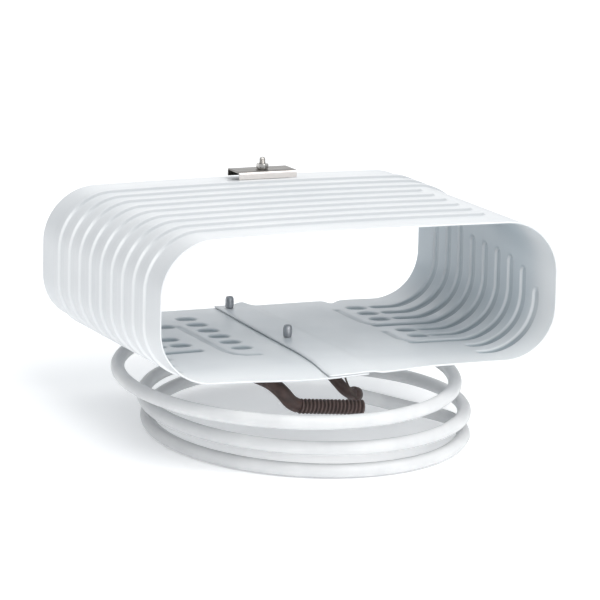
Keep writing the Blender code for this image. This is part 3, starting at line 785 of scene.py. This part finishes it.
def clamp():
    """Folded plate with its nut and threaded stud."""
    base = clamp_base()
    top = base + CLAMP_TOP
    half = CLAMP_DEPTH / 2
    outer = [(-half, base), (-half, top + CLAMP_SHEET / 2), (half, top + CLAMP_SHEET / 2), (half, base)]
    inner = [(half - CLAMP_SHEET, base), (half - CLAMP_SHEET, top - CLAMP_SHEET / 2),
             (-half + CLAMP_SHEET, top - CLAMP_SHEET / 2), (-half + CLAMP_SHEET, base)]
    section = rounded(outer, 0.0024, 5) + rounded(inner, 0.0012, 4)
    ends = []
    for x in (-CLAMP_LENGTH / 2, CLAMP_LENGTH / 2):
        ends.append([(x, y, z) for y, z in section])
    count = len(section)
    faces = [(i, (i + 1) % count, count + (i + 1) % count, count + i) for i in range(count)]
    faces.append(tuple(range(count - 1, -1, -1)))
    faces.append(tuple(range(count, 2 * count)))
    plate = mesh_object("bulb_clamp", ends[0] + ends[1], faces, True, 35)
    # Painted reflection: the front lip of the plate is lightened, as if it mirrored the bright floor in
    # front.
    lip = [float(smoothstep(-half + 0.0022, -half + 0.0004, y)) for y, _ in section]
    plate.data.attributes.new("painted_glint", "FLOAT", "POINT").data.foreach_set("value", lip + lip)
    plate.data.transform(ring_matrix() @ Matrix.Translation((CLAMP_X, CLAMP_Y, 0)))
    add_piece(plate, "plate", "clamp", "clamp_steel", "clamp_plate")
    bevel = plate.modifiers.new("edges", "BEVEL")
    bevel.width = 0.0003
    bevel.segments = 2
    bevel.limit_method = "ANGLE"

    seat = top + CLAMP_SHEET / 2 + GAP
    add_piece(hex_nut(seat), "steel", "nut", "fastener_steel", "clamp_nut")
    add_piece(threaded_stud(top), "steel", "evaporator", "fastener_steel", "clamp_stud")


def hex_nut(seat):
    """Hexagon nut with chamfered corners and a bore."""
    sides = 96
    bore = STUD_RADIUS + GAP
    rings = ((bore, 0.0), (bore, NUT_HEIGHT), (bore + 0.0006, NUT_HEIGHT), (0.0049, NUT_HEIGHT),
             (0.0065, NUT_HEIGHT - 0.0009), (0.0065, 0.0009), (0.0049, 0), (bore, 0.0))
    points = []
    for radius, height in rings:
        for side in range(sides):
            angle = 2 * math.pi * side / sides
            within = (angle + math.pi / 6) % (math.pi / 3) - math.pi / 6
            reach = min(radius, NUT_FLATS / 2 / math.cos(within))
            points.append((reach * math.cos(angle), reach * math.sin(angle), seat + height))
    faces = []
    for row in range(len(rings) - 1):
        for side in range(sides):
            after = (side + 1) % sides
            faces.append((row * sides + side, (row + 1) * sides + side, (row + 1) * sides + after,
                          row * sides + after))
    item = mesh_object("hex_nut", points, faces, True, 25)
    item.data.transform(ring_matrix() @ Matrix.Translation((CLAMP_X, CLAMP_Y, 0)))
    return item


def threaded_stud(top):
    """Stud with a rolled thread, a rounded end and a flat head inside the ring."""
    under = top_height(CLAMP_X) - SHEET - GAP
    end = top + STUD_HEIGHT - CLAMP_SHEET / 2
    profile = [(0, end), (0.0010, end - 0.0001), (0.0019, end - 0.0007), (0.0025, end - 0.0017)]
    height = end - 0.0020
    while height - THREAD_PITCH > under:
        profile += [(STUD_RADIUS, height), (STUD_RADIUS - THREAD_DEPTH, height - THREAD_PITCH / 2)]
        height -= THREAD_PITCH
    profile += [(STUD_RADIUS, under), (STUD_HEAD_RADIUS, under), (STUD_HEAD_RADIUS - 0.0001, under - 0.0012),
                (STUD_HEAD_RADIUS - 0.0015, under - 0.0020), (0, under - 0.0020)]
    place = ring_matrix() @ Matrix.Translation((CLAMP_X, CLAMP_Y, 0))
    return turned("threaded_stud", profile, 48, place, 50)


# ---------------------------------------------------------------- brown sleeves

def winding_sleeve():
    """Sleeve shrunk over the wound capillary: its turns show as one helical rib."""
    length = (WINDING_END - WINDING_START).length
    sides = 48
    rows = WINDING_TURNS * WINDING_ROWS
    points = []
    for row in range(rows + 1):
        share = row / rows
        for side in range(sides):
            angle = 2 * math.pi * side / sides
            phase = share * WINDING_TURNS * 2 * math.pi + angle
            crest = (0.5 + 0.5 * math.cos(phase)) ** 0.7
            ends = min(1, share * rows / 6, (1 - share) * rows / 6)
            radius = WINDING_RADIUS - WINDING_GROOVE * (1 - crest) - WINDING_END_TAPER * (1 - ends)
            points.append((radius * math.cos(angle), radius * math.sin(angle), share * length))
    faces = []
    for row in range(rows):
        for side in range(sides):
            after = (side + 1) % sides
            faces.append((row * sides + side, row * sides + after, (row + 1) * sides + after,
                          (row + 1) * sides + side))
    faces.append(tuple(range(sides - 1, -1, -1)))
    faces.append(tuple(rows * sides + side for side in range(sides)))
    item = mesh_object("ribbed_winding", points, faces, True, 60)
    item.data.transform(along(WINDING_START, WINDING_END, 0))
    add_piece(item, "winding", "evaporator", "brown_sleeve", "winding_sleeve")


def brown_sleeves():
    """Smooth sleeves over the outlet joint and the inlet capillary, and the bare capillary lead."""
    outlet = curve_object("outlet_cover", outlet_route()[8:-1], OUTLET_RADIUS, 8)
    add_piece(outlet, "brown", "evaporator", "brown_sleeve", "outlet_sleeve")
    route = inlet_route()
    inlet = curve_object("inlet_cover", route[:-1], INLET_RADIUS, 8)
    add_piece(inlet, "brown", "evaporator", "brown_sleeve", "inlet_sleeve")
    route = smooth_route(vectors(CAPILLARY_KNOTS), 0.002)
    lead = curve_object("capillary_rise", route, CAPILLARY_RADIUS, 3)
    add_piece(lead, "tarnished", "evaporator", "copper", "capillary_lead")


def carried_over():
    """CAD nodes whose shape stays: they only get their finish."""
    for node, material in (("outlet_neck", "aluminium"), ("joint_ferrule", "aluminium"),
                           ("capillary_winding", "copper"), ("winding_core", "copper")):
        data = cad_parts[node].data
        data.materials.clear()
        data.materials.append(MATERIALS[material])


# ---------------------------------------------------------------- studio

def add_area(name, place, target, size, power, colour):
    """A round soft light at a place, turned to its target."""
    light = bpy.data.lights.new(name, "AREA")
    light.shape = "DISK"
    light.size = size
    light.energy = power
    light.color = colour
    item = bpy.data.objects.new(name, light)
    away = Vector(place) - Vector(target)
    item.matrix_world = Matrix.Translation(place) @ away.to_track_quat("Z", "Y").to_matrix().to_4x4()
    bpy.context.scene.collection.objects.link(item)


def studio():
    """Plain pale floor that glows faintly, a painted light that lifts its shadows and lights the object from
    below, under soft light from above and in front, in a bright even room.
    """
    size = 12
    floor = mesh_object("studio_floor", [(-size, -size, -0.0004), (size, -size, -0.0004),
                                         (size, size, -0.0004), (-size, size, -0.0004)], [(0, 1, 2, 3)])
    bpy.context.scene.collection.objects.link(floor)
    shader = MATERIALS["floor"].node_tree.nodes["Principled BSDF"]
    # The floor glows faintly: painted light that lightens the shadows on it and lights the object's
    # undersides.
    shader.inputs["Emission Color"].default_value = (0.97, 0.985, 1.0, 1)
    shader.inputs["Emission Strength"].default_value = 0.22
    floor.data.materials.append(MATERIALS["floor"])
    middle = (0, 0, 0.1)
    add_area("key", (0.6, -1.5, 2.7), middle, 3.0, 64, (1.0, 0.99, 0.975))
    add_area("fill", (0.3, -3.0, 0.9), middle, 2.2, 22, (0.99, 0.995, 1.0))
    add_area("rear", (1.0, 2.8, 1.1), middle, 1.8, 5, (1.0, 1.0, 1.0))
    add_area("top", (-0.3, 1.0, 2.9), middle, 2.8, 20, (0.97, 0.985, 1.0))
    world = bpy.data.worlds.new("room")
    world.use_nodes = True
    backdrop = world.node_tree.nodes["Background"]
    backdrop.inputs["Color"].default_value = (0.965, 0.98, 1.0, 1)
    backdrop.inputs["Strength"].default_value = 0.54
    bpy.context.scene.world = world
    bpy.context.scene.view_settings.view_transform = "Standard"


make_camera()
MATERIALS = make_materials()
refrigerant_line()
evaporator_ring()
seam_rivets()
clamp()
winding_sleeve()
brown_sleeves()
carried_over()
studio()
